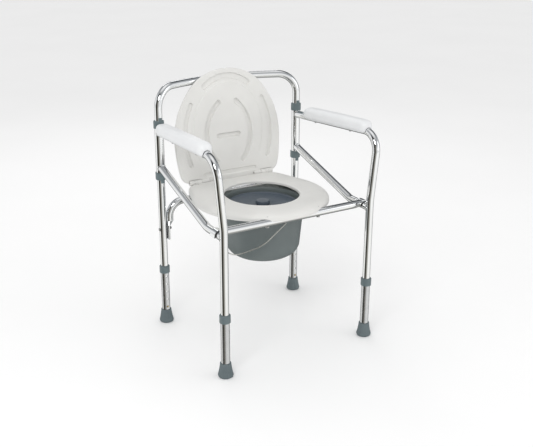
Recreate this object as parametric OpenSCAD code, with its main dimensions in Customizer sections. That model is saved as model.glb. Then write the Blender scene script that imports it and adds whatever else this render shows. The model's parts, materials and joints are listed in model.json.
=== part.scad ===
// Folding commode chair: a back frame, two side frames that swing on its uprights, a seat
// frame that lifts at the rear and drops over the side frames in front, a lid, a pail and
// four telescopic legs. Millimetres, +Z up, the sitter faces -Y, x = 0 is the middle.
// The origin is on the floor, under the middle of the chair.
// "left" is the -X side, which is on the left of someone who faces the chair.

/* [Tubes] */
// Outside diameter of the frame tube
tube_d = 22.2; // [20:0.1:22.4]
// Wall of the steel tubes
tube_wall = 1.2; // [1:0.1:1.5]
// Outside diameter of a leg extension
leg_d = 25.4; // [25.2:0.1:27]
// Outside diameter of the sleeve on a rear upright
sleeve_d = 26; // [25.6:0.1:28]

/* [Back frame] */
// Centre to the axis of a rear upright
upright_x = 236; // [220:1:250]
// Front legs to rear uprights, axis to axis
frame_depth = 391; // [370:1:420]
// Height of the top rail's axis
rail_z = 734; // [715:1:760]
// Bend between an upright and the rail
corner_r = 60; // [45:1:80]
// How far the rail turns rearward at each corner
bow_angle = 22; // [10:1:24]
// Height of the rear cross tube's axis
cross_z = 388; // [370:1:395]
// Height of the bolts that hold the cross tube
cross_bolt_z = 307; // [300:1:312]

/* [Side frames] */
// Centre to the axis of a front leg, below the bend
front_leg_x = 238.5; // [230:0.5:245]
// Centre to the corner where leg and arm would meet
arm_x = 257; // [245:1:265]
// Height of that corner
arm_z = 625; // [605:1:645]
// Height of the arm at the rear sleeve
arm_rear_z = 606; // [595:1:612]
// Bend between leg and arm
arm_r = 55; // [40:1:70]
// Height where the front leg starts to lean out
lean_z = 430; // [425:1:450]
// Height of the brace's level front end
brace_z = 409; // [395:1:415]
// Height of the brace at the rear sleeve
brace_rear_z = 503; // [495:1:520]
// Where the brace leaves the level, behind the front leg
brace_bend_y = 92; // [80:1:120]
// Bottom and top of the sleeve
sleeve_z = [470, 635]; // [460:1:650]
// Length of an arm pad
pad_length = 330; // [250:5:340]
// Width of an arm pad
pad_w = 40; // [34:1:50]

/* [Legs] */
// Top of the extension tube
leg_top_z = 182; // [170:1:200]
// Height of the lowest adjusting hole
first_hole_z = 53; // [50:1:60]
// Distance from hole to hole
hole_pitch = 25.4; // [20:0.2:26]
// Adjusting holes in a leg
hole_count = 5; // [3:1:5]
// Snap button diameter
button_d = 6.4; // [5:0.2:7]
// Height of a rubber tip
tip_h = 42; // [30:1:46]
// Widest diameter of a tip
tip_d = 44; // [38:1:50]

/* [Seat] */
// Underside and top of the ring
ring_z = [416, 436]; // [400:1:450]
// Radius of the ring's front half
ring_r = 200; // [185:1:205]
// Half width of the seat opening
opening_r = 108; // [100:1:112]
// How much longer than wide the opening is
opening_extra = 10; // [0:1:20]
// Height of the front crossbar's axis
crossbar_z = 412.5; // [405:0.5:414]
// Hinge pin diameter
pin_d = 6; // [5:0.5:8]

/* [Lid] */
// How far the open lid leans back
lid_lean = 5.5; // [3:0.1:5.5]
// Length of the lid from the hinge
lid_length = 333; // [300:1:340]
// Thickness of the lid
lid_t = 10; // [8:0.5:10]

/* [Pail] */
// Underside of the pail
pail_z = 255; // [230:1:270]
// Radius of the pail under its rim
pail_r = 120; // [112:1:120]
// Wall of the pail
pail_wall = 2.4; // [2:0.1:3]
// Side of the square rim
rim_w = 254; // [244:1:254]
// Bail wire
bail_d = 3.2; // [2.5:0.1:4]

/* [Part] */
// Which part to draw

/* [Hidden] */
$fn = 64;
running = 0.05; // radial clearance of a bore that turns or slides
gap = 0.3; // clearance between pieces that move past each other
weld = 0.04; // clearance between pieces fixed together
overlap = 0.3;
swell = 0.1;

leg_bottom_z = 8;
inner_bottom_z = 40;
tube_in = tube_d - 2 * tube_wall;
leg_in = leg_d - 2 * tube_wall;
collar_d = 31;
collar_h = 22;
collar_lip = 6;

bow_corner = [0, frame_depth + upright_x * tan(bow_angle), rail_z];
bow_straight = 4;
bow_r = (upright_x / cos(bow_angle) - corner_r - bow_straight) / tan(bow_angle);
bow_back_y = bow_corner.y - bow_r * (1 / cos(bow_angle) - 1);
mid_y = (bow_back_y + tube_d / 2 - tip_d / 2) / 2;

arm_path = [[front_leg_x, 0, inner_bottom_z], [front_leg_x, 0, lean_z],
            [arm_x, 0, arm_z], [upright_x, frame_depth, arm_rear_z]];
arm_bends = [150, arm_r];
arm_dir = unit(arm_path[3] - arm_path[2]);

crossbar_y = 36;
saddle_len = 24;
saddle_wall = 2.4;
liner_in = tube_d / 2 + 0.4;
liner_out = tube_d / 2 + 1.7;
// The sides swing out as the seat lifts, so a stub leaves its saddle at a slant.
release_angle = -11.4;

flat_t = 7;
flat_w = 31;
cross_leg_x = upright_x - tube_d - 0.6;
flat_x = upright_x - tube_d / 2 - flat_t - 0.05;

hinge_y = 387;
hinge_z = ring_z[1];
ring_knuckle = [105, 145];
lid_knuckle = [79.5, 104.3];
bracket_x = [121, 129];
ring_y = ring_r + 11;
ring_corner = [120, 357];
ring_corner_r = 40;
ring_skin = 4;
opening_y = 206;
screw_x = 84;

pail_y = 200;
rim_z = ring_z[0] - 4;
rim_t = 4;
pivot_z = rim_z - 28;
pail_lid_r = opening_r - 3;
shelf_z = 401;
bail_rest = 49;
rail_x = rim_w / 2 + 0.8;

lid_gap = 0.8;
slot_t = 4; // depth of the lid's slots, from its front plane

chrome = [0.82, 0.83, 0.84];
dull_chrome = [0.72, 0.73, 0.75];
off_white = [0.83, 0.83, 0.81];
pad_white = [0.9, 0.91, 0.92];
blue_grey = [0.42, 0.47, 0.48];
pail_grey = [0.44, 0.47, 0.46];
slate = [0.36, 0.39, 0.42];
black = [0.1, 0.1, 0.1];
brass = [0.75, 0.62, 0.35];

// ---- helpers ----

function unit(v) = v / norm(v);
function heading(p, i) = unit(p[i + 1] - p[i]);
function turn(p, i) = acos(heading(p, i - 1) * heading(p, i));
function setback(p, r, i) = i == 0 || i == len(p) - 1 ? 0 : r[i - 1] * tan(turn(p, i) / 2);

// Moves the chair from the front legs' line to the middle of its depth.
module placed() translate([0, -mid_y, 0]) children();

// Everything for one side is drawn on the +X side; s = -1 mirrors it.
module on_side(s) placed() mirror([s < 0 ? 1 : 0, 0, 0]) children();

// Children's x and z axes are turned to the given directions.
module oriented(at, x, z) {
    y = cross(z, x);
    multmatrix([[x.x, y.x, z.x, at.x], [x.y, y.y, z.y, at.y], [x.z, y.z, z.z, at.z],
                [0, 0, 0, 1]]) children();
}

// Solid rod through the points p, bent to radius r[i - 1] at each inner point. Every straight
// ends just inside the bend it meets, which is a touch thicker, so the pieces join cleanly.
module rod(p, r, d) {
    last = len(p) - 1;
    for (i = [0 : last - 1]) {
        u = heading(p, i);
        a = setback(p, r, i) - (i > 0 ? overlap : 0);
        b = setback(p, r, i + 1) - (i < last - 1 ? overlap : 0);
        oriented(p[i] + a * u, unit(cross(u, abs(u.z) < 0.9 ? [0, 0, 1] : [0, 1, 0])), u)
            cylinder(d = d, h = norm(p[i + 1] - p[i]) - a - b);
    }
    for (i = [1 : last - 1]) {
        u = heading(p, i - 1);
        v = heading(p, i);
        n = unit(v - (u * v) * u);
        oriented(p[i] - setback(p, r, i) * u + r[i - 1] * n, -n, cross(-n, u))
            rotate_extrude(angle = turn(p, i)) translate([r[i - 1], 0]) circle(d = d + swell);
    }
}

module tube(p, r, d) difference() {
    rod(p, r, d);
    rod(p, r, d - 2 * tube_wall);
}

module along_x(x0, x1, d) translate([x0, 0, 0]) rotate([0, 90, 0]) cylinder(d = d, h = x1 - x0);
module along_y(y0, y1, d) translate([0, y1, 0]) rotate([90, 0, 0]) cylinder(d = d, h = y1 - y0);

// Rounded rectangle, centred.
module round_rect(w, h, r) {
    square([w - 2 * r, h], center = true);
    square([w, h - 2 * r], center = true);
    for (x = [-1, 1], y = [-1, 1]) translate([x * (w / 2 - r), y * (h / 2 - r)]) circle(r = r);
}

// ---- back frame ----

module back_tube() color(chrome) placed() difference() {
    tube([[-upright_x, frame_depth, inner_bottom_z], [-upright_x, frame_depth, rail_z],
          bow_corner, [upright_x, frame_depth, rail_z],
          [upright_x, frame_depth, inner_bottom_z]], [corner_r, bow_r, corner_r], tube_d);
    for (s = [-1, 1]) translate([s * upright_x, frame_depth, 0]) {
        translate([0, 0, first_hole_z]) along_y(-tube_d, 0, button_d + 2 * gap);
        translate([0, 0, cross_bolt_z]) along_x(-tube_d, tube_d, pin_d + 0.4);
        translate([0, 0, cross_bolt_z]) mirror([s < 0 ? 1 : 0, 0, 0])
            along_x(tube_d / 2 - 0.64, tube_d, 12.4);
    }
}

// The cross tube's ends are pressed flat where they bolt to the uprights.
module rear_cross_tube() color(chrome) placed() translate([0, frame_depth, 0]) difference() {
    union() {
        tube([[-cross_leg_x, 0, 331], [-cross_leg_x, 0, cross_z],
              [cross_leg_x, 0, cross_z], [cross_leg_x, 0, 331]], [45, 45], tube_d);
        for (s = [-1, 1]) mirror([s < 0 ? 1 : 0, 0, 0]) {
            hull() {
                translate([cross_leg_x, 0, 330]) cylinder(d = tube_d, h = 1);
                translate([flat_x, 0, 318]) flat_end(1);
            }
            translate([flat_x, 0, 275]) flat_end(44);
        }
    }
    translate([0, 0, cross_bolt_z]) along_x(-upright_x, upright_x, pin_d + 0.4);
}

module flat_end(h) linear_extrude(height = h) translate([flat_t / 2, 0]) {
    square([flat_t, flat_w - flat_t], center = true);
    for (s = [-1, 1]) translate([0, s * (flat_w - flat_t) / 2]) circle(d = flat_t);
}

module cross_tube_bolts() color(dull_chrome) for (s = [-1, 1]) on_side(s)
    translate([0, frame_depth, cross_bolt_z]) {
        along_x(flat_x - 6, upright_x + tube_d / 2 + 0.5, pin_d);
        translate([upright_x + tube_d / 2 - 0.6, 0, 0]) rotate([0, 90, 0])
            cylinder(d1 = 12, d2 = 8, h = 2.6);
    }

module cross_tube_nuts() color(black) for (s = [-1, 1]) on_side(s)
    translate([0, frame_depth, cross_bolt_z]) difference() {
        union() {
            translate([flat_x - 5, 0, 0]) rotate([0, 90, 0]) cylinder(d = 12, h = 5, $fn = 6);
            intersection() {
                translate([flat_x - 4.5, 0, 0]) sphere(d = 10.4);
                translate([flat_x - 20, -10, -10]) cube([16, 20, 20]);
            }
        }
        along_x(flat_x - 6.2, flat_x + 1, pin_d);
    }

module hinge_bracket() color(off_white) difference() {
    union() {
        translate([0, frame_depth, cross_z]) along_x(bracket_x[0], bracket_x[1], tube_d + 7);
        translate([bracket_x[0], hinge_y - 6, cross_z])
            cube([bracket_x[1] - bracket_x[0], 13, hinge_z - cross_z]);
        translate([0, hinge_y, hinge_z]) along_x(bracket_x[0], bracket_x[1], 15);
    }
    translate([0, frame_depth, cross_z]) along_x(0, bracket_x[1] + 1, tube_d + 2 * weld);
    translate([0, hinge_y, hinge_z]) along_x(0, bracket_x[1] + 1, pin_d);
}

module left_hinge_bracket() on_side(-1) hinge_bracket();
module right_hinge_bracket() on_side(1) hinge_bracket();

module hinge_pins() color(dull_chrome) for (s = [-1, 1]) on_side(s)
    translate([0, hinge_y, hinge_z]) along_x(lid_knuckle[0] - 1, ring_knuckle[1] + 1, pin_d);

// ---- side frames ----

module arm_leg_tube() color(chrome) difference() {
    tube(arm_path, arm_bends, tube_d);
    translate([upright_x, frame_depth, sleeve_z[0]])
        cylinder(d = sleeve_d + 2 * weld, h = sleeve_z[1] - sleeve_z[0]);
    translate([front_leg_x, 0, first_hole_z]) along_y(0, tube_d, button_d + 2 * gap);
    pad_screw_places() cylinder(d = 4.4, h = 2 * tube_d, center = true);
}

module left_arm_leg_tube() on_side(-1) arm_leg_tube();
module right_arm_leg_tube() on_side(1) arm_leg_tube();

module sleeve() color(chrome) translate([upright_x, frame_depth, sleeve_z[0]]) difference() {
    cylinder(d = sleeve_d, h = sleeve_z[1] - sleeve_z[0]);
    translate([0, 0, -1]) cylinder(d = tube_d + 4 * gap, h = sleeve_z[1] - sleeve_z[0] + 2);
}

module left_sleeve() on_side(-1) sleeve();
module right_sleeve() on_side(1) sleeve();

// Level stub behind the front leg, then up to the sleeve.
module brace() color(chrome) difference() {
    tube([[front_leg_x, 0, brace_z], [front_leg_x, brace_bend_y, brace_z],
          [upright_x, frame_depth, brace_rear_z]], [60], tube_d);
    translate([upright_x, frame_depth, sleeve_z[0]])
        cylinder(d = sleeve_d + 2 * weld, h = sleeve_z[1] - sleeve_z[0]);
    translate([front_leg_x, 0, brace_z - tube_d]) cylinder(d = tube_d + 2 * weld, h = 2 * tube_d);
}

module left_brace() on_side(-1) brace();
module right_brace() on_side(1) brace();

// Bush with a lip that runs on the tube inside; the origin is the end that it covers.
module end_bush(outer_d) difference() {
    union() {
        translate([0, 0, collar_lip - collar_h]) cylinder(d = collar_d, h = collar_h - 1.5);
        translate([0, 0, collar_lip - 1.5]) cylinder(d1 = collar_d, d2 = collar_d - 3, h = 1.5);
    }
    translate([0, 0, -collar_h]) cylinder(d = outer_d + 2 * weld, h = collar_h + weld);
    translate([0, 0, -1]) cylinder(d = tube_d + 2 * running, h = collar_lip + 2);
}

// Flat tongue that a sleeve bush carries beyond its lip.
module bush_tongue() intersection() {
    difference() {
        cylinder(d = collar_d - 3.4, h = collar_lip + 9);
        translate([0, 0, -1]) cylinder(d = tube_d + 1.2, h = collar_lip + 11);
    }
    translate([-5, -collar_d, collar_lip - 1]) cube([10, collar_d, 10]);
}

module sleeve_bush() {
    end_bush(sleeve_d);
    bush_tongue();
}

module upper_bush() color(blue_grey) translate([upright_x, frame_depth, sleeve_z[1]]) sleeve_bush();
module lower_bush() color(blue_grey)
    translate([upright_x, frame_depth, sleeve_z[0]]) mirror([0, 0, 1]) sleeve_bush();

module left_upper_bush() on_side(-1) upper_bush();
module right_upper_bush() on_side(1) upper_bush();
module left_lower_bush() on_side(-1) lower_bush();
module right_lower_bush() on_side(1) lower_bush();

// Children's z runs back along the arm and x stays level; the origin is the pad's front end.
module along_arm() oriented(arm_path[2] + 40 * arm_dir, unit(cross([0, 0, 1], arm_dir)), arm_dir)
    children();

module arm_pad() color(pad_white) difference() {
    along_arm() intersection() {
        linear_extrude(height = pad_length) translate([0, 10]) round_rect(pad_w, 40, 9);
        translate([pad_w, 10, pad_length / 2]) rotate([0, -90, 0])
            linear_extrude(height = 2 * pad_w) round_rect(pad_length, 40, 12);
    }
    rod(arm_path, arm_bends, tube_d + 2 * weld);
    pad_screw_places() cylinder(d = 4, h = 40, center = true);
}

module pad_screw_places() for (t = [0.25, 0.75]) along_arm()
    translate([0, 0, t * pad_length]) rotate([90, 0, 0]) children();

module pad_screws() color(dull_chrome) pad_screw_places() {
    translate([0, 0, -14]) cylinder(d = 4, h = tube_d / 2 + 14 + weld);
    translate([0, 0, tube_d / 2 + weld]) intersection() {
        cylinder(d = 8, h = 3);
        translate([0, 0, -3]) sphere(r = 5.6);
    }
}

module left_arm_pad() on_side(-1) arm_pad();
module right_arm_pad() on_side(1) arm_pad();
module left_pad_screws() on_side(-1) pad_screws();
module right_pad_screws() on_side(1) pad_screws();

// ---- legs ----

// Drawn on its own axis with the holes facing -Y.
module extension() color(dull_chrome) difference() {
    translate([0, 0, leg_bottom_z]) cylinder(d = leg_d, h = leg_top_z - leg_bottom_z);
    translate([0, 0, leg_bottom_z - 1]) cylinder(d = leg_in, h = leg_top_z);
    for (i = [0 : hole_count - 1]) translate([0, 0, first_hole_z + i * hole_pitch])
        along_y(-leg_d, 0, button_d + 2 * gap);
}

module collar() color(blue_grey) translate([0, 0, leg_top_z]) end_bush(leg_d);

module tip() color(blue_grey) difference() {
    rotate_extrude() polygon([[0, 0], [tip_d / 2 - 2, 0], [tip_d / 2 - 0.6, 2], [tip_d / 2, 6],
        [tip_d / 2 - 1, 12], [tip_d / 2 - 4, 22], [leg_d / 2 + 3.4, tip_h - 6],
        [leg_d / 2 + 2.8, tip_h], [0, tip_h]]);
    translate([0, 0, leg_bottom_z - weld]) cylinder(d = leg_d + 2 * weld, h = tip_h);
    for (i = [0 : 15]) rotate(i * 22.5) translate([tip_d / 2 + 0.2, 0, 8])
        rotate([0, -13, 0]) cylinder(r = 1.2, h = tip_h / 2);
}

// Pin with a domed end and a shoulder behind the inner tube's wall.
module button() color(brass) rotate([90, 0, 0]) {
    translate([0, 0, 6]) cylinder(d = button_d + 2.6, h = 2.2);
    translate([0, 0, 8]) cylinder(d = button_d, h = 5);
    intersection() {
        translate([0, 0, 12.9]) cylinder(d = button_d, h = 3);
        translate([0, 0, 11.2]) sphere(r = 3.7);
    }
}

module front_leg() translate([front_leg_x, 0, 0]) mirror([0, 1, 0]) children();
module rear_leg() translate([upright_x, frame_depth, 0]) children();

module left_front_extension() on_side(-1) front_leg() extension();
module right_front_extension() on_side(1) front_leg() extension();
module left_rear_extension() on_side(-1) rear_leg() extension();
module right_rear_extension() on_side(1) rear_leg() extension();
module left_front_collar() on_side(-1) front_leg() collar();
module right_front_collar() on_side(1) front_leg() collar();
module left_rear_collar() on_side(-1) rear_leg() collar();
module right_rear_collar() on_side(1) rear_leg() collar();
module left_front_tip() on_side(-1) front_leg() tip();
module right_front_tip() on_side(1) front_leg() tip();
module left_rear_tip() on_side(-1) rear_leg() tip();
module right_rear_tip() on_side(1) rear_leg() tip();
module left_front_button() on_side(-1) front_leg() translate([0, 0, first_hole_z]) button();
module right_front_button() on_side(1) front_leg() translate([0, 0, first_hole_z]) button();
module left_rear_button() on_side(-1) rear_leg() translate([0, 0, first_hole_z]) button();
module right_rear_button() on_side(1) rear_leg() translate([0, 0, first_hole_z]) button();

// ---- seat frame ----

// Children are drawn at a stub's axis, turned to the slant at which the stub leaves.
module at_saddle(s) mirror([s < 0 ? 1 : 0, 0, 0])
    translate([front_leg_x, crossbar_y, brace_z]) rotate([0, release_angle, 0]) children();

// Half shell over a stub: open downwards, with a straight lip on the outer side.
module half_shell(r_in, r_out, length) difference() {
    union() {
        along_y(-length / 2, length / 2, 2 * r_out);
        translate([r_in, -length / 2, -8]) cube([r_out - r_in, length, 8]);
    }
    shell_room(r_in, length + 2);
}

module shell_room(r, length) {
    along_y(-length / 2, length / 2, 2 * r);
    translate([-2 * r, -length / 2, -3 * r]) cube([3 * r, length, 3 * r]);
}

module front_crossbar() color(chrome) placed() difference() {
    union() {
        difference() {
            translate([0, crossbar_y, crossbar_z]) along_x(-front_leg_x, front_leg_x, tube_d);
            for (s = [-1, 1]) at_saddle(s) shell_room(liner_out + 0.1, 2 * saddle_len);
        }
        for (s = [-1, 1]) at_saddle(s)
            half_shell(liner_out + 0.1, liner_out + 0.1 + saddle_wall, saddle_len);
    }
    translate([0, crossbar_y, crossbar_z]) along_x(18 - front_leg_x, front_leg_x - 18, tube_in);
    for (s = [-1, 1]) translate([s * screw_x, crossbar_y, 0]) cylinder(d = 5.4, h = ring_z[1]);
}

module saddle_liner(s) color(black) placed() at_saddle(s)
    half_shell(liner_in, liner_out, saddle_len + 2);
module left_saddle_liner() saddle_liner(-1);
module right_saddle_liner() saddle_liner(1);

// Block in the ring's outline, with its side set in from one height to the next.
module seat_block(z0, z1, in0, in1) hull() {
    translate([0, ring_y, z0]) cylinder(h = z1 - z0, r1 = ring_r - in0, r2 = ring_r - in1);
    for (s = [-1, 1]) translate([s * ring_corner.x, ring_corner.y, z0])
        cylinder(h = z1 - z0, r1 = ring_corner_r - in0, r2 = ring_corner_r - in1);
}

module opening_block(z0, z1, out) {
    for (s = [-1, 1]) translate([0, opening_y + s * opening_extra / 2, z0])
        cylinder(r = opening_r + out, h = z1 - z0);
    translate([-opening_r - out, opening_y - opening_extra / 2, z0])
        cube([2 * (opening_r + out), opening_extra, z1 - z0]);
}

// Thin-walled moulding, open below, with hinge knuckles and a recess at the rear.
module seat_ring() color(off_white) placed() difference() {
    union() {
        difference() {
            union() {
                seat_block(ring_z[0], ring_z[1] - 9, 0, 0);
                seat_block(ring_z[1] - 9, ring_z[1] - 3, 0, 2.5);
                seat_block(ring_z[1] - 3, ring_z[1], 2.5, 7);
            }
            difference() {
                seat_block(ring_z[0] - 1, ring_z[1] - ring_skin, ring_skin, ring_skin + 2);
                opening_block(ring_z[1] - 8, ring_z[1], ring_skin);
                translate([-ring_knuckle[0] - ring_skin, hinge_y - 16, ring_z[0]])
                    cube([2 * (ring_knuckle[0] + ring_skin), 30, 30]);
                for (s = [-1, 1]) translate([s * screw_x, crossbar_y, ring_z[0]])
                    cylinder(d = 12, h = ring_z[1] - ring_z[0]);
            }
        }
        for (s = [-1, 1]) mirror([s < 0 ? 1 : 0, 0, 0]) translate([0, hinge_y, hinge_z])
            along_x(ring_knuckle[0], ring_knuckle[1], 16);
    }
    opening_block(ring_z[0] - 1, ring_z[1] + 1, 0);
    translate([-ring_knuckle[0] + gap, hinge_y - 11.8, ring_z[0] - 1])
        cube([2 * (ring_knuckle[0] - gap), 60, 60]);
    for (s = [-1, 1]) mirror([s < 0 ? 1 : 0, 0, 0]) {
        translate([bracket_x[0] - gap, hinge_y - 21, ring_z[0] - 1])
            cube([bracket_x[1] - bracket_x[0] + 2 * gap, 60, 60]);
        translate([0, hinge_y, hinge_z]) along_x(0, ring_knuckle[1] + 1, pin_d + 2 * running);
    }
    translate([0, crossbar_y, crossbar_z]) along_x(-ring_r, ring_r, tube_d + 2 * weld);
    for (s = [-1, 1]) translate([s * screw_x, crossbar_y, 0])
        cylinder(d = 4, h = ring_z[1] - ring_skin);
}

module seat_screws() color(dull_chrome) placed() for (s = [-1, 1])
    translate([s * screw_x, crossbar_y, crossbar_z - tube_d / 2]) {
        translate([0, 0, -weld]) cylinder(d = 4, h = tube_d + 6);
        translate([0, 0, -3.5]) cylinder(d = 10, h = 3.5 - weld);
    }

// Angle strip under the ring that the pail's rim slides on.
module pail_rail() color(off_white) {
    translate([rail_x, pail_y - 105, rim_z - 4]) cube([3.4, 210, ring_z[1] - ring_skin - rim_z + 4]);
    translate([pail_r + 1.2, pail_y - 105, rim_z - 4]) cube([rail_x - pail_r, 210, 4 - weld]);
}
module left_pail_rail() on_side(-1) pail_rail();
module right_pail_rail() on_side(1) pail_rail();

// ---- pail ----

module pail() color(pail_grey) placed() translate([0, pail_y, 0]) difference() {
    union() {
        rotate_extrude() polygon([[0, pail_z], [80, pail_z], [pail_r - 24, pail_z + 6],
            [pail_r - 13, pail_z + 17], [pail_r - 5, pail_z + 65], [pail_r, rim_z - 7],
            [pail_r, rim_z + rim_t], [0, rim_z + rim_t]]);
        translate([0, 0, rim_z]) linear_extrude(height = rim_t) round_rect(rim_w, rim_w, 34);
        for (s = [-1, 1]) translate([0, s * (pail_r - 1.2), pivot_z])
            along_y(-4.6, 4.6, 15);
    }
    difference() {
        rotate_extrude() polygon([[0, pail_z + pail_wall], [80, pail_z + pail_wall],
            [pail_r - 26, pail_z + 8], [pail_r - 15.5, pail_z + 18],
            [pail_r - 5 - pail_wall, pail_z + 65], [pail_r - pail_wall, rim_z - 7],
            [pail_r - pail_wall, rim_z + 9], [0, rim_z + 9]]);
        translate([0, 0, shelf_z - 3]) cylinder(r = pail_r, h = 3);
    }
    translate([0, 0, shelf_z - 4]) cylinder(r = pail_lid_r - 6, h = 5);
    translate([0, 0, pivot_z]) along_y(-pail_r - 8, pail_r + 8, bail_d + 2 * running);
}

module pail_lid() color(slate) placed() translate([0, pail_y, 0])
    rotate_extrude() polygon([[0, shelf_z - 6], [52, shelf_z - 6], [80, shelf_z - 3],
        [pail_lid_r - 8, shelf_z - 1], [pail_lid_r - 8, shelf_z + gap],
        [pail_lid_r, shelf_z + gap], [pail_lid_r, shelf_z + 5], [pail_lid_r - 2.5, shelf_z + 5],
        [pail_lid_r - 5, shelf_z + 2.5], [80, shelf_z], [52, shelf_z - 3], [19, shelf_z - 3],
        [21.5, shelf_z + 2], [21.5, shelf_z + 9], [19.5, shelf_z + 13], [17.5, shelf_z + 14],
        [0, shelf_z + 14]]);

// Wire handle, drawn hanging at rest against the pail's left side.
module bail() color(dull_chrome) placed() translate([0, pail_y, pivot_z])
    rotate([0, bail_rest, 0])
        rod([[0, -pail_r + 4, 0], [0, -pail_r - 9, 0], [0, -pail_r + 3, -92], [0, -44, -163],
             [0, 44, -163], [0, pail_r - 3, -92], [0, pail_r + 9, 0], [0, pail_r - 4, 0]],
            [4, 80, 80, 80, 80, 4], bail_d);

// ---- lid ----

// Local y runs back through the thickness and z up the lid; the origin is the hinge axis.
module lid_frame() placed() translate([0, hinge_y, hinge_z]) rotate([-lid_lean, 0, 0]) children();

module lid_disc(x, z, r, y0, y1, in0, in1) translate([x, y1, z]) rotate([90, 0, 0])
    cylinder(h = y1 - y0, r1 = r - in1, r2 = r - in0);

// Block in the lid's outline, with its edge set in from one depth to the next.
module lid_block(y0, y1, in0, in1) hull() {
    lid_disc(0, lid_length - 150, 150, y0, y1, in0, in1);
    for (s = [-1, 1]) {
        lid_disc(s * 115, 124, 65, y0, y1, in0, in1);
        lid_disc(s * 118, 56, 50, y0, y1, in0, in1);
        lid_disc(s * 135, 32, 30, y0, y1, in0, in1);
    }
}

function polar(r, a) = r * [cos(a), sin(a)];

// Outline with round ends of a slot w wide, along an arc of radius r centred on angle a.
function arc_slot(r, a, half, w) = concat(
    [for (t = [-8:8]) polar(r + w / 2, a + half * t / 8)],
    [for (t = [15:15:165]) polar(r, a + half) + polar(w / 2, a + half + t)],
    [for (t = [-8:8]) polar(r - w / 2, a - half * t / 8)],
    [for (t = [195:15:345]) polar(r, a - half) + polar(w / 2, a - half + t)]);

function bar_slot(x0, x1, w) = concat([for (t = [-90:15:90]) [x1, 0] + polar(w / 2, t)],
    [for (t = [90:15:270]) [x0, 0] + polar(w / 2, t)]);

// Flat-bottomed cut in the lid's face, with its outline drawn about (x, z).
module lid_cut(x, z, outline) translate([x, lid_gap + slot_t, z]) rotate([90, 0, 0])
    linear_extrude(slot_t + 1) polygon(outline);

module lid() color(off_white) lid_frame() difference() {
    union() {
        lid_block(lid_gap, lid_gap + 2.5, 3, 0);
        lid_block(lid_gap + 2.5, lid_gap + lid_t - 2.5, 0, 0);
        lid_block(lid_gap + lid_t - 2.5, lid_gap + lid_t, 0, 3);
        for (s = [-1, 1]) mirror([s < 0 ? 1 : 0, 0, 0]) {
            along_x(lid_knuckle[0], lid_knuckle[1], 14);
            translate([lid_knuckle[0], lid_gap, 0])
                cube([lid_knuckle[1] - lid_knuckle[0], lid_t - 2, 8]);
        }
    }
    lid_block(lid_gap - 1, lid_gap + 0.9, 14, 14);
    lid_cut(0, 194.5, arc_slot(115.5, 90, 39, 16));
    lid_cut(0, 131, bar_slot(-34, 36, 12));
    lid_cut(0, 21, bar_slot(-86, 80, 12));
    for (s = [-1, 1]) mirror([s < 0 ? 1 : 0, 0, 0]) {
        lid_cut(-77.6, 130.4, arc_slot(224, 3.8, 23.7, 12));
        lid_cut(-55.9, 133.2, arc_slot(130.9, 5, 43.9, 13));
    }
    for (s = [-1, 1]) mirror([s < 0 ? 1 : 0, 0, 0]) {
        along_x(ring_knuckle[0] - 0.5, ring_knuckle[1] + 0.6, 17.6);
        along_x(lid_knuckle[0] - 1, lid_knuckle[1] + 1, pin_d + 2 * running);
    }
    translate([0, 0, lid_length + 2]) rotate([0, 45, 0]) cube([7, 40, 7], center = true);
}

// ---- drawing ----

back_tube();
rear_cross_tube();
cross_tube_bolts();
cross_tube_nuts();
left_hinge_bracket();
right_hinge_bracket();
hinge_pins();
left_arm_leg_tube();
right_arm_leg_tube();
left_sleeve();
right_sleeve();
left_brace();
right_brace();
left_upper_bush();
right_upper_bush();
left_lower_bush();
right_lower_bush();
left_arm_pad();
right_arm_pad();
left_pad_screws();
right_pad_screws();
left_front_extension();
right_front_extension();
left_rear_extension();
right_rear_extension();
left_front_collar();
right_front_collar();
left_rear_collar();
right_rear_collar();
left_front_tip();
right_front_tip();
left_rear_tip();
right_rear_tip();
left_front_button();
right_front_button();
left_rear_button();
right_rear_button();
front_crossbar();
left_saddle_liner();
right_saddle_liner();
seat_ring();
seat_screws();
left_pail_rail();
right_pail_rail();
lid();
pail();
pail_lid();
bail();
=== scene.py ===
"""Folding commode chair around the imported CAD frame. Metres, +Z up, the sitter faces -Y."""
import json
import math

import bmesh
import bpy
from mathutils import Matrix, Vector


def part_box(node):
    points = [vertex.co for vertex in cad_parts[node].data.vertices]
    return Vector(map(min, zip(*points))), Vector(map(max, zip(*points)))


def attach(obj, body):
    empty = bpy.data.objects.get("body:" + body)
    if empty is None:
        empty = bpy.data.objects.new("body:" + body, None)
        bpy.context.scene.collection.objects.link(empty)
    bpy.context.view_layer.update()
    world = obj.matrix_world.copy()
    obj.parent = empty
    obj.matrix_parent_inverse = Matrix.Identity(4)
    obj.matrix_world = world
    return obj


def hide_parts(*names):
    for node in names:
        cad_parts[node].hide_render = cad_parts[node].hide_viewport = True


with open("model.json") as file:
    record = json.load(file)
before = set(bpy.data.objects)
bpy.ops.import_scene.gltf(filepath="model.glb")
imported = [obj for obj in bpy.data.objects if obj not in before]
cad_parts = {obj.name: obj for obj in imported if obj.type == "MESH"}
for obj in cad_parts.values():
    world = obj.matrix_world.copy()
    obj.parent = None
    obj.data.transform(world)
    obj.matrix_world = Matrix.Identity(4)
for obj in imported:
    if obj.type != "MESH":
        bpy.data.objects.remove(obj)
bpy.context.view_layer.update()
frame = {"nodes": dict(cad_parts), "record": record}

# ---------------------------------------------------------------- sizes, taken from the frame
TUBE_R = 0.0111  # frame tube
SIDES = {"left": -1, "right": 1}


def middle(node):
    low, high = (Vector(c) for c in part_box(node))
    return (low + high) / 2


def top(node):
    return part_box(node)[1][2]


def bottom(node):
    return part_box(node)[0][2]


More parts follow.
